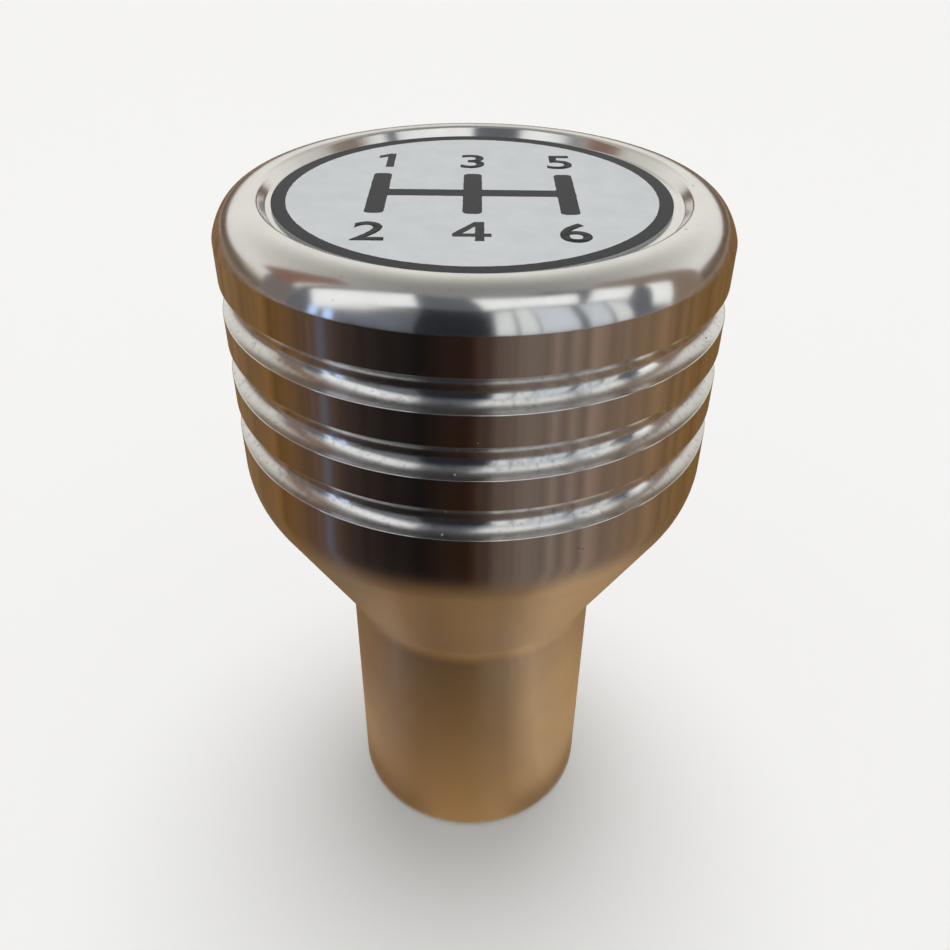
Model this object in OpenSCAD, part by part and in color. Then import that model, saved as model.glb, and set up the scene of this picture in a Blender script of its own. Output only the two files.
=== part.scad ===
// Gear shift knob, turned from one aluminium bar, with a printed disc in its top.
// Millimetres. The neck stands on z = 0 and the turning axis is Z.

/* [Head] */
// Diameter of the head over its bands
head_d = 50; // [40:0.5:60]
// Height of the top band, from its groove to the start of the crown
top_band_h = 3.7; // [2:0.1:8]
// Height of each band between two grooves
band_h = 3.2; // [1.5:0.1:6]
// Straight height under the last groove
lower_band_h = 4.05; // [1:0.05:10]

/* [Grooves] */
// How many grooves run round the head
groove_count = 3; // [1:1:5]
// Width of a groove at the surface
groove_w = 3.3; // [2.4:0.1:5]
// Depth of a groove
groove_depth = 1.6; // [0.6:0.05:2.2]
// Small chamfer that breaks the edges of a groove
groove_break = 0.08; // [0.04:0.01:0.2]

/* [Crown] */
// Slope at which the crown leaves the top band, in degrees
lead_angle = 16; // [5:1:25]
// Slope at which the gentle lead-in arc meets the shoulder arc, in degrees
shoulder_angle = 32; // [27:1:45]
// Radius of the gentle lead-in arc
lead_r = 6.5; // [3:0.1:9]
// Radius of the shoulder arc
shoulder_r = 3.5; // [2:0.1:6]
// Width of the flat between the shoulder and the lip of the recess
crown_flat_w = 0.4; // [0.1:0.05:3]

/* [Recess] */
// Depth of the recess under the crown
recess_depth = 1; // [0.6:0.05:1.6]
// Radius that rounds the lip of the recess
lip_r = 0.6; // [0.3:0.05:0.8]
// Slope of the wall between the floor and the lip, in degrees
wall_angle = 45; // [35:1:60]

/* [Taper and neck] */
// Radius that rounds the head into the cone
waist_r = 9.3; // [4:0.1:12]
// Slope of the cone, from the axis, in degrees
cone_angle = 28.5; // [22:0.5:40]
// Diameter of the neck
neck_d = 29.5; // [22:0.5:34]
// Height at which the cone would meet the neck without a fillet
neck_h = 32.4; // [22:0.2:60]
// Radius of the fillet between the cone and the neck
foot_r = 3; // [1:0.5:8]
// Chamfer round the bottom edge of the neck
neck_chamfer = 0.4; // [0.1:0.1:1.5]

/* [Threaded bore] */
// Nominal diameter of the lever's thread
thread_d = 12; // [8:1:14]
// Pitch of the lever's thread
thread_pitch = 1.25; // [1:0.25:1.75]
// Depth of the full bore, without the drill point
bore_depth = 26; // [15:1:45]
// Point angle of the drill
drill_point = 118; // [90:1:140]
// How far the chamfer at the mouth stands outside the thread, on the radius
mouth_break = 0.4; // [0.1:0.1:1]

/* [Disc] */
// Gap all round between the printed disc and the wall of the recess
disc_gap = 0.6; // [0.3:0.05:1.5]
// Thickness of the printed disc
disc_t = 0.25; // [0.1:0.05:0.5]
// How far the disc was stuck left of the centre
disc_shift = 0.25; // [0:0.05:0.3]

/* [Hidden] */
$fn = 180;
head_r = head_d / 2;
neck_r = neck_d / 2;
bore_r = (thread_d - thread_pitch) / 2;
mouth_r = thread_d / 2 + mouth_break;

// A groove is cut with a round tool: its radius, its centre and its pitch
groove_tool_r = (groove_w * groove_w / 4 + groove_depth * groove_depth)
    / (2 * groove_depth);
groove_axis_r = head_r - groove_depth + groove_tool_r;
groove_pitch = groove_w + band_h;

// Heights, from the neck upwards
waist_end_r = head_r - waist_r * (1 - cos(cone_angle));
waist_end_z = neck_h + (waist_end_r - neck_r) / tan(cone_angle);
waist_z = waist_end_z + waist_r * sin(cone_angle);
first_groove_z = waist_z + lower_band_h + groove_w / 2;
top_band_z = first_groove_z + (groove_count - 1) * groove_pitch + groove_w / 2;
crown_z = top_band_z + top_band_h;

// A point on an arc, and the corner where the tangents at its two ends meet.
// Angles are those of the outward normal, from the horizontal.
function on_arc(c, r, a) = c + r * [cos(a), sin(a)];
function corner(c, r, a, b) = on_arc(c, r / cos((b - a) / 2), (a + b) / 2);

// Centres of the arcs that round the section, each tangent to its neighbours
waist_c = [head_r - waist_r, waist_z];
foot_c = [neck_r + foot_r, neck_h - foot_r * tan(cone_angle / 2)];
lead_c = [head_r, crown_z] - lead_r * [cos(lead_angle), sin(lead_angle)];
shoulder_c = on_arc(lead_c, lead_r - shoulder_r, shoulder_angle);
top_z = shoulder_c[1] + shoulder_r;

// The recess, from the flat of the crown inwards and down, and the disc in it
lip_c = [shoulder_c[0] - crown_flat_w, top_z - lip_r];
wall_top_r = lip_c[0] - lip_r * tan(wall_angle / 2);
recess_r = wall_top_r - recess_depth / tan(wall_angle);
floor_z = top_z - recess_depth;
disc_r = recess_r - disc_gap;

// The sliver between an arc and the two tangents at its ends, with its corner
// pushed outwards: it cuts a corner round, or fills a hollow one
module rounding(c, r, a, b) {
    tip = corner(c, r, a, b);
    difference() {
        polygon([on_arc(c, r, a), tip + (tip - c) / 4, on_arc(c, r, b)]);
        translate(c) circle(r);
    }
}

// Half section of the knob before its grooves and its bore, with sharp corners
module sharp_section() {
    polygon([
        [0, 0],
        [neck_r - neck_chamfer, 0],
        [neck_r, neck_chamfer],
        [neck_r, neck_h],
        corner(waist_c, waist_r, -cone_angle, 0),
        [head_r, crown_z],
        corner(lead_c, lead_r, lead_angle, shoulder_angle),
        corner(shoulder_c, shoulder_r, shoulder_angle, 90),
        [wall_top_r, top_z],
        [recess_r, floor_z],
        [0, floor_z]
    ]);
}

// Half section of one groove, with a chamfer that breaks its two edges
module groove_section() {
    break_r = head_r - groove_break;
    half = sqrt(pow(groove_tool_r, 2) - pow(groove_axis_r - break_r, 2));
    reach = groove_break + 1;
    translate([groove_axis_r, 0]) circle(groove_tool_r);
    polygon([
        [break_r, half], [break_r, -half],
        [break_r + reach, -half - reach], [break_r + reach, half + reach]
    ]);
}

// Half section of the knob before its bore
module knob_section() {
    difference() {
        union() {
            sharp_section();
            rounding(foot_c, foot_r, 180 - cone_angle, 180);
        }
        rounding(waist_c, waist_r, -cone_angle, 0);
        // The lead-in runs on into the shoulder's cut, so that they leave no sliver
        rounding(lead_c, lead_r, lead_angle, shoulder_angle + 2);
        rounding(shoulder_c, shoulder_r, shoulder_angle, 90);
        rounding(lip_c, lip_r, 90, 90 + wall_angle);
        for (i = [0 : groove_count - 1])
            translate([0, first_groove_z + i * groove_pitch]) groove_section();
    }
}

// Drilled and tapped hole for the lever, with a chamfered mouth
module lever_bore() {
    point_h = bore_r / tan(drill_point / 2);
    translate([0, 0, -1]) cylinder(r = bore_r, h = bore_depth + 1);
    translate([0, 0, bore_depth]) cylinder(r1 = bore_r, r2 = 0, h = point_h);
    translate([0, 0, -1]) cylinder(r1 = mouth_r + 1, r2 = bore_r, h = mouth_r - bore_r + 1);
}

module knob_body() {
    color([0.72, 0.70, 0.67])
    difference() {
        rotate_extrude() knob_section();
        lever_bore();
    }
}

module badge_disc() {
    color([0.78, 0.80, 0.82])
    translate([-disc_shift, 0, floor_z]) cylinder(r = disc_r, h = disc_t);
}

knob_body();
badge_disc();
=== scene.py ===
"""Gear shift knob, turned from one aluminium bar, with a printed disc in its crown.

Sizes are named in millimetres and angles in degrees, as on a drawing, and sizes become
metres when a mesh is made. Z is the turning axis and the neck stands on z = 0.
"""
import math

import bmesh
import bpy
from mathutils import Matrix, Vector, noise


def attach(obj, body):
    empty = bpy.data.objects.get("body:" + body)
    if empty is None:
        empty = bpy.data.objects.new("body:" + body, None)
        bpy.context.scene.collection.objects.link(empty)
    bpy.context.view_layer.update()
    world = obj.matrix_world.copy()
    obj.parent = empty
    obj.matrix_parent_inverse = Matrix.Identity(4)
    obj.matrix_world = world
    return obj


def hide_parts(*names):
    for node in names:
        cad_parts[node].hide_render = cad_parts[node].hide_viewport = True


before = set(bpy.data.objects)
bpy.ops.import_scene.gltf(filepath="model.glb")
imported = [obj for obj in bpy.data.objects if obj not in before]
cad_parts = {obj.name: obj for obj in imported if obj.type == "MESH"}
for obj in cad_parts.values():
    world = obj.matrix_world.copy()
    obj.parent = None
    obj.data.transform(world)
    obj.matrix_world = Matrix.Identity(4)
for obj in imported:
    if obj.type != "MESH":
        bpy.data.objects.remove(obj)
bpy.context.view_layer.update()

MM = 0.001

# ---------------------------------------------------------------- sizes of the knob
# an arc of the section is the r and z of its centre, and its radius
HEAD_R = 25.0
NECK_R = 14.75
NECK_CHAMFER = 0.4
FOOT_ARC = (20.75, 30.876, 6.0)
CONE_ANGLE = 28.5
WAIST_ARC = (15.7, 53.637, 9.3)
GROOVES_Z = (59.338, 65.838, 72.338)
GROOVE_ARC_R = 1.6508
GROOVE_AXIS_R = 25.0508
GROOVE_EDGE = 0.1
CROWN_Z = 77.687
LEAD_ARC = (18.752, 75.895, 6.5)
SHOULDER_ARC = (21.296, 77.485, 3.5)
LEAD_ANGLE, SHOULDER_ANGLE = 16.0, 32.0
LIP_ARC = (20.896, 80.385, 0.6)
WALL_ANGLE = 52.0
RECESS_R = 19.822
FLOOR_Z = 79.985
# radii that ease the corners of the section, and the turn of one step on them
NECK_EASE, CROWN_EASE, FLOOR_EASE = 0.1, 0.25, 0.12
EASE_STEP = 9.0

# lever thread: drilled hole, tapped, with a chamfered mouth
BORE_R = 5.375
BORE_DEPTH = 26.0
DRILL_TIP_Z = 29.23
MOUTH_R = 6.4
THREAD_PITCH = 1.25
THREAD_CUT = 0.6
THREAD_END = 23.5
# shares of the pitch that its crest, each flank and its root take
THREAD_CREST, THREAD_FLANK, THREAD_ROOT = 0.30, 0.29, 0.12

# printed disc in the recess
DISC_R = 19.0475
DISC_T = 0.25
DISC_X = -0.25
RING_INNER_R = 17.69
INK_T = 0.015
GATE_PITCH = 9.0
GATE_REACH = 5.7
GATE_BAR = 1.8
GATE_END_R, GATE_INNER_R = 0.55, 0.22
DIGIT_H = 4.5
DIGIT_Y = 10.0
DIGIT_BOLD = 0.11
# height of a number in Blender's own font, as a share of the font's size
FONT_SHARE = 0.73
# the print's edge wanders: its longest straight, how far it strays and how quickly it turns
PRINT_STEP, PRINT_WANDER, WANDER_SCALE = 0.2, 0.045, 2.3
PRINT_SEED = 1

# steps round the axis, the angle from which an edge shades sharp, and the gap that closes
SEGMENTS = 192
CREASE_ANGLE = 32.0
MERGE_GAP = 0.002


# ---------------------------------------------------------------- node trees as expressions
# a Mix node that mixes colours: its factor, its two colours and its result, by number
MIX_FACTOR, MIX_A, MIX_B, MIXED = 0, 6, 7, 2


class Num:
    """A socket of a node tree. Arithmetic on it adds Math nodes to its tree."""

    def __init__(self, tree, socket):
        self.tree, self.socket = tree, socket

    def math(self, operation, *values):
        settings = {"operation": operation}
        return self.tree.node("ShaderNodeMath", settings, dict(enumerate(values)))[0]

    def __add__(self, other):
        return self.math("ADD", self, other)

    def __radd__(self, other):
        return self.math("ADD", other, self)

    def __sub__(self, other):
        return self.math("SUBTRACT", self, other)

    def __rsub__(self, other):
        return self.math("SUBTRACT", other, self)

    def __mul__(self, other):
        return self.math("MULTIPLY", self, other)

    def __rmul__(self, other):
        return self.math("MULTIPLY", other, self)

    def __truediv__(self, other):
        return self.math("DIVIDE", self, other)

    def __rtruediv__(self, other):
        return self.math("DIVIDE", other, self)

    def __mod__(self, other):
        return self.math("FLOORED_MODULO", self, other)

    def floor(self):
        return self.math("FLOOR", self)

    def sqrt(self):
        return self.math("SQRT", self)

    def sin(self):
        return self.math("SINE", self)

    def cos(self):
        return self.math("COSINE", self)

    def larger(self, other):
        return self.math("MAXIMUM", self, other)

    def smaller(self, other):
        return self.math("MINIMUM", self, other)

    def rise(self, start, end, low=0.0, high=1.0):
        """Goes smoothly from low to high as the number goes from start to end."""
        return self.tree.node(
            "ShaderNodeMapRange",
            {"interpolation_type": "SMOOTHSTEP", "clamp": True},
            {"Value": self, "From Min": start, "From Max": end, "To Min": low, "To Max": high},
        )["Result"]

    def between(self, low, high, soft):
        """1 between low and high and 0 outside, with soft edges."""
        return self.rise(low - soft, low + soft) * self.rise(high - soft, high + soft, 1.0, 0.0)


class Made:
    """The outputs of one new node, by name or number."""

    def __init__(self, tree, node):
        self.tree, self.node = tree, node

    def __getitem__(self, name):
        return Num(self.tree, self.node.outputs[name])


class Tree:
    """Adds nodes to a shader or geometry tree."""

    def __init__(self, tree):
        self.tree = tree

    def node(self, kind, settings=None, sockets=None):
        made = self.tree.nodes.new(kind)
        for name, value in (settings or {}).items():
            if name == "stops":
                self.set_stops(made.color_ramp, value)
            else:
                setattr(made, name, value)
        for name, value in (sockets or {}).items():
            self.plug(made.inputs[name], value)
        return Made(self, made)

    def plug(self, socket, value):
        if isinstance(value, Num):
            self.tree.links.new(value.socket, socket)
        elif isinstance(value, (tuple, list)) and socket.type == "RGBA" and len(value) == 3:
            socket.default_value = (*value, 1.0)
        else:
            socket.default_value = value

    @staticmethod
    def set_stops(ramp, stops):
        while len(ramp.elements) < len(stops):
            ramp.elements.new(1.0)
        for element, (position, colour) in zip(ramp.elements, stops):
            element.position = position
            element.color = (*colour, 1.0)

    def mix(self, factor, a, b):
        """Colour a where the factor is 0 and colour b where it is 1."""
        sockets = {MIX_FACTOR: factor, MIX_A: a, MIX_B: b}
        return self.node("ShaderNodeMix", {"data_type": "RGBA"}, sockets)[MIXED]

    def shaded(self, colour, level):
        """A colour made darker or lighter by a number."""
        grey = self.vector(level, level, level)
        settings = {"data_type": "RGBA", "blend_type": "MULTIPLY"}
        sockets = {MIX_FACTOR: 1.0, MIX_A: colour, MIX_B: grey}
        return self.node("ShaderNodeMix", settings, sockets)[MIXED]

    def vector(self, x, y, z):
        return self.node("ShaderNodeCombineXYZ", None, {"X": x, "Y": y, "Z": z})[0]

    def noise(self, vector, scale, detail=2.0, roughness=0.5):
        return self.node(
            "ShaderNodeTexNoise", None,
            {"Vector": vector, "Scale": scale, "Detail": detail, "Roughness": roughness},
        )[0]

    def bump(self, height, distance, strength=1.0, normal=None):
        sockets = {"Height": height, "Distance": distance, "Strength": strength}
        if normal is not None:
            sockets["Normal"] = normal
        return self.node("ShaderNodeBump", None, sockets)["Normal"]


def new_material(name):
    material = bpy.data.materials.new(name)
    material.use_nodes = True
    material.node_tree.nodes.clear()
    return material, Tree(material.node_tree)


def set_surface(tree, shader):
    tree.node("ShaderNodeOutputMaterial", None, {"Surface": shader})


def set_glow(tree, colour):
    set_surface(tree, tree.node("ShaderNodeEmission", None, {"Color": colour, "Strength": 1.0})[0])


def place_in_mm(tree):
    """Object coordinates x, y and z in millimetres."""
    place = tree.node("ShaderNodeTexCoord")["Object"]
    xyz = tree.node("ShaderNodeSeparateXYZ", None, {0: place})
    return [xyz[i] / MM for i in range(3)]


# ---------------------------------------------------------------- finishes
METAL_COLOUR, METAL_DULL = (0.80, 0.79, 0.775), (0.765, 0.755, 0.735)
SATIN_COLOUR, SATIN_DULL = (0.80, 0.785, 0.76), (0.77, 0.752, 0.725)
STAIN_COLOUR = (0.42, 0.36, 0.30)
DIRT_COLOUR = (0.40, 0.41, 0.41)
PIT_COLOUR = (0.06, 0.05, 0.045)
NICK_COLOUR = (0.85, 0.85, 0.84)
FILM_COLOURS, FILM_GRAIN = ((0.555, 0.588, 0.625), (0.605, 0.632, 0.662)), (0.50, 0.53, 0.57)
INK_COLOURS, INK_WORN = ((0.024, 0.026, 0.030), (0.042, 0.045, 0.050)), (0.20, 0.21, 0.225)
# depths that the bumps stand for, in mm
SATIN_LINES, POLISH_LINES, PIT_DEPTH = 0.006, 0.003, 0.02
FILM_DEPTH, INK_DEPTH = 0.01, 0.006
# turns the streaks of a highlight upright, across the tool's lines
QUARTER_TURN = 0.25

# small marks of use: degrees round from the front, distance from the axis, height, size, in mm
DARK_PITS = (
    (61.7, 24.19, 70.91, 0.09), (-42.5, 24.99, 76.50, 0.07), (-40.8, 24.99, 75.67, 0.08),
    (23.1, 24.98, 55.35, 0.08), (24.1, 25.00, 55.11, 0.07), (91.5, 20.9, 80.98, 0.08),
    (-118.0, 24.98, 63.1, 0.08), (150.0, 24.98, 69.0, 0.09), (208.0, 22.6, 46.6, 0.10),
)
BRIGHT_NICKS = (
    (59.0, 21.15, 80.98, 0.16), (-6.2, 24.42, 57.79, 0.08), (-3.5, 24.31, 64.34, 0.07),
    (1.0, 24.98, 68.08, 0.04), (133.0, 24.6, 79.0, 0.12), (-160.0, 24.98, 75.2, 0.08),
)


def near_any(tree, place, marks):
    """1 at the middle of each small round mark, 0 away from them."""
    found = None
    for turn, r, z, size in marks:
        a = math.radians(turn)
        gap = tree.node("ShaderNodeVectorMath", {"operation": "DISTANCE"}, {
            0: place, 1: (r * math.sin(a), -r * math.cos(a), z),
        })["Value"]
        spot = gap.rise(size * 0.6, size * 1.4, 1.0, 0.0)
        found = spot if found is None else found.larger(spot)
    return found


def turned_aluminium():
    """Satin on the bands, the cone and the neck, and polished on the crown and in the grooves."""
    material, tree = new_material("turned_aluminium")
    x, y, z = place_in_mm(tree)
    r = (x * x + y * y).sqrt()
    place = tree.vector(x, y, z)

    crown = z.rise(CROWN_Z - 0.06, CROWN_Z + 0.06)
    in_groove = (HEAD_R - r).rise(0.05, 0.12) * z.between(
        GROOVES_Z[0] - 2.0, GROOVES_Z[-1] + 2.0, 0.05
    )
    polished = crown.larger(in_groove)
    # height from the middle of the nearest groove: its lower wall is the duller one
    pitch = GROOVES_Z[1] - GROOVES_Z[0]
    rise = (z - (GROOVES_Z[0] - pitch / 2)) % pitch - pitch / 2
    low_wall = in_groove * rise.rise(-1.05, -0.75, 1.0, 0.0)

    # tool lines run round the knob, so they change along the section and hardly round it
    along = z + r * crown.rise(0.0, 1.0, 0.93, -0.93)
    lines = tree.noise(tree.vector(x * 0.006, y * 0.006, along), 3.6, 3.0, 0.65)
    fine_lines = tree.noise(tree.vector(x * 0.012, y * 0.012, along), 12.0, 2.0, 0.6)
    smears = tree.noise(place, 0.16, 4.0, 0.62)
    specks = tree.noise(place, 2.6, 2.0, 0.5)
    grime = tree.noise(place, 1.7, 5.0, 0.7)
    pits = near_any(tree, place, DARK_PITS)
    nicks = near_any(tree, place, BRIGHT_NICKS)

    # the polished metal has a few dull specks, and the grooves keep a little grey dirt
    tint = tree.mix(smears.rise(0.35, 0.7), METAL_COLOUR, METAL_DULL)
    tint = tree.mix(specks.rise(0.70, 0.78, 0.0, 0.35), tint, STAIN_COLOUR)
    tint = tree.mix(in_groove * grime.rise(0.50, 0.68, 0.0, 0.45), tint, DIRT_COLOUR)
    tint = tree.mix(pits * 0.85, tint, PIT_COLOUR)
    tint = tree.mix(nicks * 0.8, tint, NICK_COLOUR)
    brushed = tree.mix(smears.rise(0.3, 0.7), SATIN_COLOUR, SATIN_DULL)
    brushed = tree.mix(pits * 0.8, brushed, PIT_COLOUR)
    brushed = tree.mix(nicks * 0.8, brushed, NICK_COLOUR)

    line_height = lines * 0.6 + fine_lines * 0.4
    hollows = 1.0 - pits.larger(nicks * 0.7)

    def metal(colour, roughness, streaking, line_depth, line_strength):
        turned = tree.bump(line_height, line_depth * MM, line_strength)
        return tree.node("ShaderNodeBsdfPrincipled", None, {
            "Base Color": colour,
            "Metallic": 1.0,
            "Roughness": roughness,
            "Anisotropic": streaking,
            "Anisotropic Rotation": QUARTER_TURN,
            "Normal": tree.bump(hollows, PIT_DEPTH * MM, 1.0, turned),
        })[0]

    # the neck and the cone are duller than the bands
    satin_roughness = lines * 0.05 + smears * 0.05 + nicks * 0.3 + z.rise(50.0, 55.0, 0.20, 0.10)
    polish_roughness = smears * 0.12 + lines * 0.03 + low_wall * 0.08 + nicks * 0.3 + 0.09
    satin = metal(brushed, satin_roughness, 0.88, SATIN_LINES, 0.6)
    polish = metal(tint, polish_roughness, 0.86, POLISH_LINES, 0.5)
    set_surface(tree, tree.node("ShaderNodeMixShader", None, {0: polished, 1: satin, 2: polish})[0])
    return material


def disc_film():
    """Matt pale film of the disc, faintly mottled."""
    material, tree = new_material("disc_film")
    place = tree.vector(*place_in_mm(tree))
    clouds = tree.noise(place, 0.35, 3.0, 0.6)
    grain = tree.noise(place, 9.0, 3.0, 0.7)
    pale = tree.mix(clouds.rise(0.3, 0.7), *FILM_COLOURS)
    pale = tree.mix(grain.rise(0.35, 0.75, 0.0, 0.22), pale, FILM_GRAIN)
    set_surface(tree, tree.node("ShaderNodeBsdfPrincipled", None, {
        "Base Color": pale,
        "Roughness": grain * 0.12 + 0.46,
        "Specular IOR Level": 0.4,
        "Normal": tree.bump(grain, FILM_DEPTH * MM, 0.4),
    })[0])
    return material


def disc_ink():
    """Charcoal print, a little worn and not quite even."""
    material, tree = new_material("disc_ink")
    place = tree.vector(*place_in_mm(tree))
    cover = tree.noise(place, 3.4, 3.0, 0.65)
    pinholes = tree.noise(place, 14.0, 2.0, 0.5)
    colour = tree.mix(cover.rise(0.35, 0.75), *INK_COLOURS)
    colour = tree.mix(pinholes.rise(0.66, 0.76, 0.0, 0.5), colour, INK_WORN)
    set_surface(tree, tree.node("ShaderNodeBsdfPrincipled", None, {
        "Base Color": colour,
        "Roughness": cover * 0.15 + 0.42,
        "Specular IOR Level": 0.2,
        "Normal": tree.bump(pinholes, INK_DEPTH * MM, 0.4),
    })[0])
    return material


# ---------------------------------------------------------------- the turned section
def arc(centre_r, centre_z, radius, start, end, steps):
    """Points (r, z) on an arc of the section; angles are from the horizontal."""
    turn = [math.radians(start + (end - start) * i / steps) for i in range(steps + 1)]
    return [(centre_r + radius * math.cos(a), centre_z + radius * math.sin(a)) for a in turn]


def eased(points, corners):
    """Rounds the named corners of a section; corners maps a point to its radius."""
    out = []
    for i, point in enumerate(points):
        radius = corners.get(point)
        if radius is None or i in (0, len(points) - 1):
            out.append(point)
            continue
        here = Vector(point)
        back = (Vector(points[i - 1]) - here).normalized()
        on = (Vector(points[i + 1]) - here).normalized()
        half = back.angle(on) / 2
        reach = radius / math.tan(half)
        middle = here + (back + on).normalized() * radius / math.sin(half)
        first, last = here + back * reach - middle, here + on * reach - middle
        sweep = first.angle_signed(last)
        steps = max(3, math.ceil(abs(math.degrees(sweep)) / EASE_STEP))
        for k in range(steps + 1):
            a = -sweep * k / steps
            turned = Vector((
                first.x * math.cos(a) - first.y * math.sin(a),
                first.x * math.sin(a) + first.y * math.cos(a),
            ))
            out.append(tuple(middle + turned))
    return out


def guarded(points, near=0.05, far=0.25):
    """Adds points close to both ends of each long straight, so that its shading stays flat."""
    out = [points[0]]
    for a, b in zip(points, points[1:]):
        start, end = Vector(a), Vector(b)
        length = (end - start).length
        if length > 3 * far:
            along = (end - start) / length
            out += [tuple(start + along * d) for d in (near, far, length - far, length - near)]
        out.append(b)
    return out


def groove(z):
    """One full-radius groove with softly broken edges, from its lower edge to its upper one."""
    centre = HEAD_R - GROOVE_EDGE
    offset = math.sqrt((GROOVE_ARC_R + GROOVE_EDGE) ** 2 - (centre - GROOVE_AXIS_R) ** 2)
    turn = math.degrees(math.atan2(offset, GROOVE_AXIS_R - centre))
    lower = arc(centre, z - offset, GROOVE_EDGE, 0, turn, 6)
    bottom = arc(GROOVE_AXIS_R, z, GROOVE_ARC_R, 180 + turn, 180 - turn, 36)
    upper = arc(centre, z + offset, GROOVE_EDGE, -turn, 0, 6)
    return lower + bottom[1:-1] + upper


def outer_section():
    """From the edge of the mouth out over the neck, the head and the crown to the axis."""
    neck_out, neck_up = (NECK_R - NECK_CHAMFER, 0.0), (NECK_R, NECK_CHAMFER)
    crown_start, floor_edge = (HEAD_R, CROWN_Z), (RECESS_R, FLOOR_Z)
    points = [(MOUTH_R, 0.0), neck_out, neck_up]
    points += arc(*FOOT_ARC, 180, 180 - CONE_ANGLE, 14)
    points += arc(*WAIST_ARC, -CONE_ANGLE, 0, 20)
    for z in GROOVES_Z:
        points += groove(z)
    points.append(crown_start)
    points += arc(*LEAD_ARC, LEAD_ANGLE, SHOULDER_ANGLE, 10)[1:]
    points += arc(*SHOULDER_ARC, SHOULDER_ANGLE, 90, 26)[1:]
    points += arc(*LIP_ARC, 90, 90 + WALL_ANGLE, 10)
    points += [floor_edge, (0.0, FLOOR_Z)]
    return guarded(eased(points, {
        neck_out: NECK_EASE, neck_up: NECK_EASE, crown_start: CROWN_EASE, floor_edge: FLOOR_EASE,
    }))


def thread_rows():
    """(share of a pitch, share of the thread's depth) of the rows of one turn, mouthwards."""
    crest, root = THREAD_CREST, THREAD_CREST + THREAD_FLANK
    return (
        (0.0, 0.0), (crest / 2, 0.0), (crest, 0.0),
        (root, 1.0), (root + THREAD_ROOT / 2, 1.0), (root + THREAD_ROOT, 1.0),
    )


def knob_section():
    """The whole half section, from the drill tip round to the axis: (r, z, winds, cut) a point."""
    rows = [(0.0, DRILL_TIP_Z, 0, 0), (BORE_R, BORE_DEPTH, 0, 0)]
    for turn in range(math.ceil(BORE_DEPTH / THREAD_PITCH) + 2):
        for share, cut in thread_rows():
            z = BORE_DEPTH + THREAD_PITCH - (turn + share) * THREAD_PITCH
            rows.append((BORE_R, z, 1, cut))
    rows += [(r, z, 0, 0) for r, z in outer_section()]
    return rows


def section_mesh(name, rows):
    """A chain of points for the lathe tree, with what it needs to know about each."""
    mesh = bpy.data.meshes.new(name)
    mesh.from_pydata(
        [(r * MM, 0.0, z * MM) for r, z, _, _ in rows],
        [(i, i + 1) for i in range(len(rows) - 1)], [],
    )
    for label, column in (("winds", 2), ("cut", 3)):
        attribute = mesh.attributes.new(label, "FLOAT", "POINT")
        attribute.data.foreach_set("value", [float(row[column]) for row in rows])
    return mesh


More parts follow.
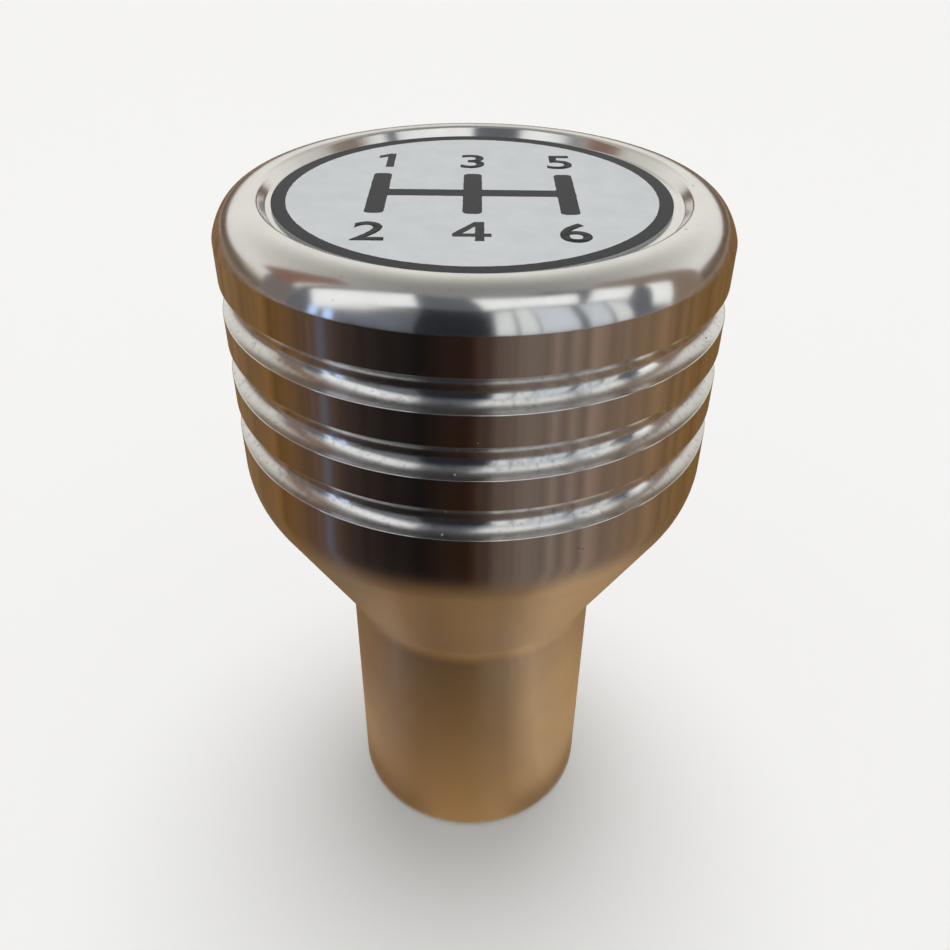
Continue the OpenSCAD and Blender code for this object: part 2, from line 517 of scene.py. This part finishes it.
def lathe_tree(material):
    """Turns a half section about Z, and winds the rows marked as thread into a helix."""
    group = bpy.data.node_groups.new("lathe", "GeometryNodeTree")
    face = group.interface
    face.new_socket("Section", in_out="INPUT", socket_type="NodeSocketGeometry")
    face.new_socket("Segments", in_out="INPUT", socket_type="NodeSocketInt")
    for name in ("Thread pitch", "Thread cut", "Thread end", "Bore depth", "Mouth radius"):
        face.new_socket(name, in_out="INPUT", socket_type="NodeSocketFloat")
    face.new_socket("Turned", in_out="OUTPUT", socket_type="NodeSocketGeometry")
    tree = Tree(group)
    given = tree.node("NodeGroupInput")
    section, segments = given["Section"], given["Segments"]
    pitch, depth, mouth = given["Thread pitch"], given["Bore depth"], given["Mouth radius"]

    count = tree.node(
        "GeometryNodeAttributeDomainSize", {"component": "MESH"}, {0: section}
    )["Point Count"]
    grid = tree.node("GeometryNodeMeshGrid", None, {
        "Size X": 1.0, "Size Y": 1.0, "Vertices X": segments + 1, "Vertices Y": count,
    })["Mesh"]
    index = tree.node("GeometryNodeInputIndex")[0]
    column, row = (index / count + 0.0001).floor(), index % count

    def at_row(kind, value):
        return tree.node(
            "GeometryNodeSampleIndex", {"data_type": kind, "domain": "POINT", "clamp": True},
            {"Geometry": section, "Value": value, "Index": row},
        )["Value"]

    def mark(name):
        named = tree.node("GeometryNodeInputNamedAttribute", {"data_type": "FLOAT"}, {"Name": name})
        return at_row("FLOAT", named["Attribute"])

    place = at_row("FLOAT_VECTOR", tree.node("GeometryNodeInputPosition")[0])
    xyz = tree.node("ShaderNodeSeparateXYZ", None, {0: place})
    radius, height = xyz["X"], xyz["Z"]
    share = column / segments
    winds = mark("winds")
    wound = (height - pitch * share).larger(0.0).smaller(depth)
    fade = wound.rise(given["Thread end"] - pitch, given["Thread end"], 1.0, 0.0)
    bore = (radius + given["Thread cut"] * mark("cut") * fade).larger(mouth - wound)
    radius = radius + (bore - radius) * winds
    height = height + (wound - height) * winds
    angle = share * math.tau
    turned = tree.node("GeometryNodeSetPosition", None, {
        "Geometry": grid,
        "Position": tree.vector(radius * angle.cos(), radius * angle.sin(), height),
    })[0]
    closed = tree.node(
        "GeometryNodeMergeByDistance", None, {"Geometry": turned, "Distance": MERGE_GAP * MM}
    )[0]
    smooth = tree.node(
        "GeometryNodeSetShadeSmooth", {"domain": "FACE"}, {"Geometry": closed, "Shade Smooth": True}
    )[0]
    crease = tree.node("GeometryNodeInputMeshEdgeAngle")["Unsigned Angle"]
    gentle = tree.node(
        "FunctionNodeCompare", {"operation": "LESS_THAN"},
        {0: crease, 1: math.radians(CREASE_ANGLE)},
    )
    creased = tree.node(
        "GeometryNodeSetShadeSmooth", {"domain": "EDGE"},
        {"Geometry": smooth, "Shade Smooth": gentle["Result"]},
    )[0]
    real = tree.node("GeometryNodeRealizeInstances", None, {"Geometry": creased})[0]
    done = tree.node("GeometryNodeSetMaterial", None, {"Geometry": real, "Material": material})[0]
    tree.node("NodeGroupOutput", None, {"Turned": done})
    return group


def settle(name, mesh, group, values):
    """Runs a geometry tree on a mesh and keeps its result as a plain mesh object."""
    maker = bpy.data.objects.new(name + "_maker", mesh)
    bpy.context.scene.collection.objects.link(maker)
    modifier = maker.modifiers.new(name, "NODES")
    modifier.node_group = group
    keys = {i.name: i.identifier for i in group.interface.items_tree if i.in_out == "INPUT"}
    for key, value in values.items():
        modifier[keys[key]] = value
    bpy.context.view_layer.update()
    evaluated = maker.evaluated_get(bpy.context.evaluated_depsgraph_get())
    result = bpy.data.meshes.new_from_object(evaluated)
    result.name = name
    bpy.data.objects.remove(maker)
    piece = bpy.data.objects.new(name, result)
    bpy.context.scene.collection.objects.link(piece)
    return piece


def make_knob(material):
    section = section_mesh("knob_section", knob_section())
    piece = settle("turned_knob", section, lathe_tree(material), {
        "Segments": SEGMENTS,
        "Thread pitch": THREAD_PITCH * MM,
        "Thread cut": THREAD_CUT * MM,
        "Thread end": THREAD_END * MM,
        "Bore depth": BORE_DEPTH * MM,
        "Mouth radius": MOUTH_R * MM,
    })
    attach(piece, "root")
    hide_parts("knob_body")


# ---------------------------------------------------------------- the print on the disc
def circle(radius, steps=180):
    return [
        (radius * math.cos(math.tau * i / steps), radius * math.sin(math.tau * i / steps))
        for i in range(steps)
    ]


def gate_outline():
    """Outline of a shift gate: three slots joined by one across, with rounded corners."""
    half, reach = GATE_BAR / 2, GATE_REACH
    corners = []
    for x in (-GATE_PITCH, 0.0, GATE_PITCH):
        if corners:
            corners.append((x - half, half))
        corners += [(x - half, reach), (x + half, reach)]
        if x < GATE_PITCH:
            corners.append((x + half, half))
    corners += [(-x, -y) for x, y in corners]
    radii = {
        point: (GATE_END_R if abs(point[1]) == reach else GATE_INNER_R) for point in corners
    }
    closed = [corners[-1], *corners, corners[0]]
    return eased(closed, radii)[1:-1]


def flat_mesh(curve, place):
    """The filled outline of a curve or text as a mesh, laid at place."""
    maker = bpy.data.objects.new("ink_maker", curve)
    bpy.context.scene.collection.objects.link(maker)
    bpy.context.view_layer.update()
    evaluated = maker.evaluated_get(bpy.context.evaluated_depsgraph_get())
    mesh = bpy.data.meshes.new_from_object(evaluated)
    bpy.data.objects.remove(maker)
    mesh.transform(Matrix.Translation(place))
    return mesh


def outline_mesh(loops):
    curve = bpy.data.curves.new("ink_outline", "CURVE")
    curve.dimensions, curve.fill_mode = "2D", "BOTH"
    for loop in loops:
        spline = curve.splines.new("POLY")
        spline.points.add(len(loop) - 1)
        spline.use_cyclic_u = True
        for point, (x, y) in zip(spline.points, loop):
            point.co = (x, y, 0, 1)
    return flat_mesh(curve, (0, 0, 0))


# outlines of the numbers that the font draws badly when bold; x and y as shares of the height
DRAWN_DIGITS = {
    "1": (
        ((0.20, 0.0), (0.38, 0.0), (0.38, 1.0), (0.24, 1.0),
         (0.0, 0.83), (0.0, 0.64), (0.20, 0.77)),
    ),
    "4": (
        ((0.44, 0.0), (0.62, 0.0), (0.62, 0.22), (0.76, 0.22), (0.76, 0.38), (0.62, 0.38),
         (0.62, 1.0), (0.42, 1.0), (0.0, 0.37), (0.0, 0.22), (0.44, 0.22)),
        ((0.19, 0.38), (0.44, 0.38), (0.44, 0.76)),
    ),
}


def digit_mesh(digit, x, y):
    """One number with its middle at x, y."""
    if digit in DRAWN_DIGITS:
        middle = max(px for px, py in DRAWN_DIGITS[digit][0]) / 2
        return outline_mesh([
            [(x + (px - middle) * DIGIT_H, y + (py - 0.5) * DIGIT_H) for px, py in loop]
            for loop in DRAWN_DIGITS[digit]
        ])
    text = bpy.data.curves.new("ink_digit", "FONT")
    text.body = digit
    text.size = DIGIT_H / FONT_SHARE
    text.offset = DIGIT_BOLD
    text.align_x = "CENTER"
    text.resolution_u = 6
    return flat_mesh(text, (x, y - DIGIT_H / 2, 0))


def make_print(material):
    """Ring, shift gate and gear numbers, printed on the disc with a slightly rough edge."""
    meshes = [
        outline_mesh([circle(DISC_R), circle(RING_INNER_R)]),
        outline_mesh([gate_outline()]),
    ]
    for i in range(6):
        side = 1 if i % 2 == 0 else -1
        meshes.append(digit_mesh(str(i + 1), (i // 2 - 1) * GATE_PITCH, side * DIGIT_Y))
    ink = bmesh.new()
    for mesh in meshes:
        ink.from_mesh(mesh)
        bpy.data.meshes.remove(mesh)
    bmesh.ops.remove_doubles(ink, verts=ink.verts, dist=0.001)
    for _ in range(4):
        long_edges = [e for e in ink.edges if e.is_boundary and e.calc_length() > PRINT_STEP]
        bmesh.ops.subdivide_edges(ink, edges=long_edges, cuts=1)
    bmesh.ops.triangulate(ink, faces=ink.faces)
    noise.seed_set(PRINT_SEED)
    for vert in ink.verts:
        if vert.co.length < DISC_R - 0.01:
            stray = noise.noise_vector(vert.co * WANDER_SCALE)
            vert.co += PRINT_WANDER * stray * Vector((1, 1, 0))
    for face in ink.faces:
        if face.normal.z < 0:
            face.normal_flip()
    top = bmesh.ops.extrude_face_region(ink, geom=ink.faces[:])["geom"]
    top_verts = [item for item in top if isinstance(item, bmesh.types.BMVert)]
    bmesh.ops.translate(ink, verts=top_verts, vec=(0, 0, INK_T))
    # the walls come in another order each run, so the faces are put in order by their place
    in_order = sorted(ink.faces, key=lambda face: tuple(face.calc_center_median()))
    places = {face: place for place, face in enumerate(in_order)}
    ink.faces.sort(key=lambda face: places[face])
    bmesh.ops.transform(
        ink, verts=ink.verts,
        matrix=Matrix.Scale(MM, 4) @ Matrix.Translation((DISC_X, 0, FLOOR_Z + DISC_T)),
    )
    mesh = bpy.data.meshes.new("disc_print")
    ink.to_mesh(mesh)
    ink.free()
    mesh.materials.append(material)
    piece = bpy.data.objects.new("disc_print", mesh)
    bpy.context.scene.collection.objects.link(piece)
    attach(piece, "root")


# ---------------------------------------------------------------- studio
# the middle of the head, from which the room is laid out
HEAD_AIM = Vector((0.0, 0.0, 78 * MM))
FLOOR_COLOUR = (0.93, 0.935, 0.955)
# half the side of the floor, in metres
FLOOR_REACH = 4.0

# the soft key lamp: azimuth, elevation, level on a flat floor, apparent size
KEY = (170.0, 80.0, 0.44, 36.0)
KEY_COLOUR = (1.0, 0.995, 0.985)

# the air on the camera's side and behind the knob: sine of the elevation, colour
AIR_COLOURS = (
    (0.40, (0.80, 0.785, 0.745)),
    (0.76, (0.50, 0.495, 0.455)),
    (0.97, (0.27, 0.27, 0.265)),
)
BACK_AIR_COLOURS = (
    (0.40, (0.89, 0.870, 0.825)),
    (0.76, (0.55, 0.545, 0.500)),
    (0.97, (0.27, 0.270, 0.265)),
)

# the table card: its inner and outer radius in metres, and its height, just over the floor
TABLE_INNER_R, TABLE_OUTER_R, TABLE_CARD_Z = 0.015, 1.6, 0.0004
TABLE_STEPS = 48
# its colours round the knob, which paint the reflection of a lit brown table, lighter on its right
# side where light falls: share of the way from azimuth -180 to 180, colour
TABLE_NEAR_COLOURS = (
    (0.05, (0.22, 0.115, 0.037)),
    (0.15, (0.31, 0.180, 0.072)),
    (0.27, (0.34, 0.215, 0.120)),
    (0.39, (0.24, 0.128, 0.048)),
    (0.50, (0.27, 0.150, 0.055)),
    (0.57, (0.29, 0.162, 0.062)),
    (0.65, (0.52, 0.335, 0.170)),
    (0.77, (0.48, 0.298, 0.140)),
    (0.95, (0.22, 0.115, 0.037)),
)
# the far colours hold a painted shadow, nearly black, from the camera's side round to its left
TABLE_FAR_COLOURS = (
    (0.18, (0.22, 0.13, 0.060)),
    (0.25, (0.17, 0.085, 0.025)),
    (0.31, (0.11, 0.065, 0.045)),
    (0.36, (0.028, 0.018, 0.014)),
    (0.44, (0.004, 0.003, 0.003)),
    (0.50, (0.030, 0.012, 0.006)),
    (0.57, (0.19, 0.145, 0.120)),
    (0.64, (0.21, 0.150, 0.115)),
    (0.74, (0.23, 0.140, 0.072)),
    (0.80, (0.20, 0.110, 0.040)),
)
# painted shadow of the knob on the table, beside its foot
FOOT_SHADE = (0.17, 0.085, 0.022)
BLUISH_STRIP = (0.11, 0.12, 0.155)

# cards of the room, as seen from the head: name, azimuths, elevations, colour, distance in
# metres, steps each way
ROOM_CARDS = (
    ("front_wall", (-80, 84), (-12, 73), (0.125, 0.135, 0.155), 2.0, 8),
    ("low_wall", (84, 280), (-6, 9), (0.13, 0.08, 0.05), 2.1, 24),
    ("left_curtain", (-105, -84), (22, 57), (0.25, 0.14, 0.105), 1.9, 8),
    ("left_shade", (-97, -80), (-2, 22), (0.19, 0.165, 0.16), 1.85, 8),
    ("right_curtain", (84, 106), (-4, 60), (0.25, 0.19, 0.15), 1.9, 8),
    ("dark_middle", (-24, 7), (-12, 41), (0.018, 0.02, 0.026), 1.8, 8),
    ("dark_foot", (-52, 12), (-12, 3), (0.012, 0.010, 0.010), 1.75, 8),
    ("left_lower_wall", (-66, -30), (4, 24), (0.15, 0.165, 0.20), 1.8, 8),
)

# bright panes nearer than the walls: name, colour, corners as azimuth and elevation
PANE_DISTANCE = 1.6
WHITE, BLUE, PEARL = (1.04, 1.06, 1.05), (0.66, 0.71, 0.76), (0.80, 0.83, 0.83)
SKY = (0.70, 1.0, 1.6)
PANES = (
    ("left_high", WHITE, ((-67, 10), (-47, 25), (-27, 44), (-58, 71), (-69, 55), (-76, 28))),
    ("left_low_1", SKY, ((-69, 0), (-65, 0), (-65, 10), (-69, 10))),
    ("left_low_2", SKY, ((-62, 0), (-58, 0), (-58, 12), (-62, 12))),
    ("right_high_1", WHITE,
     ((5, 43), (28, 47), (49, 38), (68, 58), (44, 69), (-3, 72), (3, 58))),
    ("right_high_2", WHITE, ((53, 37), (69, 24), (84, 40), (80, 57))),
    ("right_low_0", PEARL, ((9, 5), (17, 5), (17, 41), (9, 38))),
    ("right_low_1", PEARL, ((18.5, 4), (26, 4), (26, 44), (18.5, 42))),
    ("right_low_2", BLUE, ((27, 3), (43, 3), (43, 36), (27, 44))),
    ("right_low_3", BLUE, ((47, 2), (57, 2), (57, 31), (47, 36))),
    ("right_low_4", PEARL, ((58.5, 1), (66, 1), (66, 22), (58.5, 30))),
    ("side_pane", WHITE, ((76, 8), (85, 0), (92, 21), (87, 36))),
)

# the camera: where it stands in mm, its yaw, pitch and roll in radians, and its focal length
# and the picture's width in pixels
CAMERA_PLACE = Vector((0.0, -87.978, 109.931))
CAMERA_YAW, CAMERA_PITCH, CAMERA_ROLL = 0.003407, 0.620919, -0.011633
FOCAL_PIXELS, PICTURE_PIXELS = 926.768, 950
SENSOR = 36.0


def toward(azimuth, elevation, distance):
    """A place seen from the head; azimuth runs from the camera's side round to the right."""
    a, e = math.radians(azimuth), math.radians(elevation)
    return HEAD_AIM + distance * Vector(
        (math.sin(a) * math.cos(e), -math.cos(a) * math.cos(e), math.sin(e))
    )


def glowing(name, colour):
    material, tree = new_material(name)
    set_glow(tree, colour)
    return material


def add_card(name, points, faces, material):
    """A staged card, which only reflections show: no camera, diffuse or shadow ray sees it."""
    mesh = bpy.data.meshes.new(name)
    mesh.from_pydata(points, [], faces)
    mesh.materials.append(material)
    card = bpy.data.objects.new(name, mesh)
    bpy.context.scene.collection.objects.link(card)
    card.visible_camera = card.visible_diffuse = card.visible_shadow = False


def add_room_card(name, azimuths, elevations, colour, distance, steps):
    """A card bent round the knob, as wide and high as it looks from the head."""
    def share(ends, i):
        return ends[0] + (ends[1] - ends[0]) * i / steps

    count = steps + 1
    points = [
        toward(share(azimuths, i), share(elevations, k), distance)
        for i in range(count) for k in range(count)
    ]
    firsts = [i * count + k for i in range(steps) for k in range(steps)]
    faces = [(a, a + count, a + count + 1, a + 1) for a in firsts]
    add_card(name, points, faces, glowing(name, colour))


def add_pane(name, colour, corners):
    """A bright pane with its corners at (azimuth, elevation), as seen from the head."""
    points = [toward(azimuth, elevation, PANE_DISTANCE) for azimuth, elevation in corners]
    add_card(name, points, [tuple(range(len(points)))], glowing(name, colour))


def add_table_card():
    """A glowing card just over the floor, round the foot, painted as a lit brown table with its
    shade: the metal mirrors it and not the floor.
    """
    material, tree = new_material("table_card")
    place = tree.node("ShaderNodeTexCoord")["Object"]
    xyz = tree.node("ShaderNodeSeparateXYZ", None, {0: place})
    turn = xyz[0].math("ARCTAN2", xyz[0], xyz[1] * -1.0) / math.tau + 0.5
    away = (xyz[0] * xyz[0] + xyz[1] * xyz[1]).sqrt()
    far_off = tree.node("ShaderNodeValToRGB", {"stops": TABLE_FAR_COLOURS}, {0: turn})[0]
    close_by = tree.node("ShaderNodeValToRGB", {"stops": TABLE_NEAR_COLOURS}, {0: turn})[0]
    # narrow strips that run away from the knob show as upright streaks in its bands
    strips = tree.noise(tree.vector(turn, 0.0, 0.0), 46.0, 4.0, 0.7)
    far_off = tree.shaded(far_off, strips.rise(0.32, 0.66, 1.42, 0.62))
    far_off = tree.mix(turn.between(0.318, 0.329, 0.005) * 0.85, far_off, BLUISH_STRIP)
    # painted light and shade: it grows darker outwards, apart from its right side, and holds a
    # painted shadow beside the foot
    right_side = turn.between(0.60, 0.88, 0.03)
    fall = away.rise(0.014, 0.034, 1.33, 0.72)
    close_by = tree.shaded(close_by, fall * (1.0 - right_side) + right_side)
    beside = 1.0 - turn.between(0.43, 0.57, 0.03)
    close_by = tree.mix(away.rise(0.0160, 0.0190, 0.80, 0.0) * beside, close_by, FOOT_SHADE)
    colour = tree.mix(away.rise(0.032, 0.066), close_by, far_off)
    set_glow(tree, colour)
    points, faces = [], []
    for i in range(TABLE_STEPS):
        a = math.tau * i / TABLE_STEPS
        points += [
            (reach * math.cos(a), reach * math.sin(a), TABLE_CARD_Z)
            for reach in (TABLE_INNER_R, TABLE_OUTER_R)
        ]
        k = 2 * ((i + 1) % TABLE_STEPS)
        faces.append((2 * i, 2 * i + 1, k + 1, k))
    add_card("table_card", points, faces, material)


def add_floor():
    mesh = bpy.data.meshes.new("studio_floor")
    signs = ((-1, -1), (1, -1), (1, 1), (-1, 1))
    corners = [(x * FLOOR_REACH, y * FLOOR_REACH, 0) for x, y in signs]
    mesh.from_pydata(corners, [], [(0, 1, 2, 3)])
    material, tree = new_material("studio_floor")
    set_surface(tree, tree.node("ShaderNodeBsdfPrincipled", None, {
        "Base Color": FLOOR_COLOUR, "Roughness": 0.9, "Specular IOR Level": 0.1,
    })[0])
    mesh.materials.append(material)
    floor = bpy.data.objects.new("studio_floor", mesh)
    bpy.context.scene.collection.objects.link(floor)


def add_key(azimuth, elevation, level, softness):
    """A large soft lamp far off, at a plain level; the metal shows the panes instead of it."""
    light = bpy.data.lights.new("soft_key", "SUN")
    light.energy = level * math.pi / math.sin(math.radians(elevation))
    light.angle = math.radians(softness)
    light.color = KEY_COLOUR
    lamp = bpy.data.objects.new("soft_key", light)
    source = toward(azimuth, elevation, 1.0) - HEAD_AIM
    lamp.rotation_euler = source.to_track_quat("Z", "Y").to_euler()
    lamp.visible_glossy = False
    bpy.context.scene.collection.objects.link(lamp)


def add_air():
    """The air of the room, paler behind the knob; the metal shows it between the cards."""
    world = bpy.data.worlds.new("studio_air")
    world.use_nodes = True
    world.node_tree.nodes.clear()
    tree = Tree(world.node_tree)
    direction = tree.node("ShaderNodeTexCoord")["Generated"]
    xyz = tree.node("ShaderNodeSeparateXYZ", None, {0: direction})
    behind, up = xyz[1], xyz[2]
    colour = tree.mix(
        behind.rise(0.5, 0.95),
        tree.node("ShaderNodeValToRGB", {"stops": AIR_COLOURS}, {0: up})[0],
        tree.node("ShaderNodeValToRGB", {"stops": BACK_AIR_COLOURS}, {0: up})[0],
    )
    air = tree.node("ShaderNodeBackground", None, {"Color": colour, "Strength": 1.0})[0]
    tree.node("ShaderNodeOutputWorld", None, {"Surface": air})
    bpy.context.scene.world = world


def light_room():
    add_air()
    add_key(*KEY)
    add_table_card()
    for card in ROOM_CARDS:
        add_room_card(*card)
    for pane in PANES:
        add_pane(*pane)


def add_camera():
    """The photograph's viewpoint, for a square picture."""
    yaw, pitch, roll = CAMERA_YAW, CAMERA_PITCH, CAMERA_ROLL
    ahead = Vector((
        math.sin(yaw) * math.cos(pitch), math.cos(yaw) * math.cos(pitch), -math.sin(pitch)
    ))
    right = Vector((math.cos(yaw), -math.sin(yaw), 0))
    down = ahead.cross(right)
    across = math.cos(roll) * right + math.sin(roll) * down
    below = math.cos(roll) * down - math.sin(roll) * right
    camera = bpy.data.cameras.new("photo_camera")
    camera.sensor_width = SENSOR
    camera.lens = SENSOR * FOCAL_PIXELS / PICTURE_PIXELS
    camera.clip_start, camera.clip_end = 0.01, 20.0
    view = bpy.data.objects.new("photo_camera", camera)
    axes = Matrix((across, -below, -ahead)).transposed().to_4x4()
    view.matrix_world = Matrix.Translation(CAMERA_PLACE * MM) @ axes
    bpy.context.scene.collection.objects.link(view)
    bpy.context.scene.camera = view


add_camera()
bpy.context.scene.view_settings.view_transform = "Standard"
metal, film, ink = turned_aluminium(), disc_film(), disc_ink()
make_knob(metal)
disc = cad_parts["badge_disc"]
for disc_slot in disc.material_slots:
    disc_slot.material = film
make_print(ink)
add_floor()
light_room()
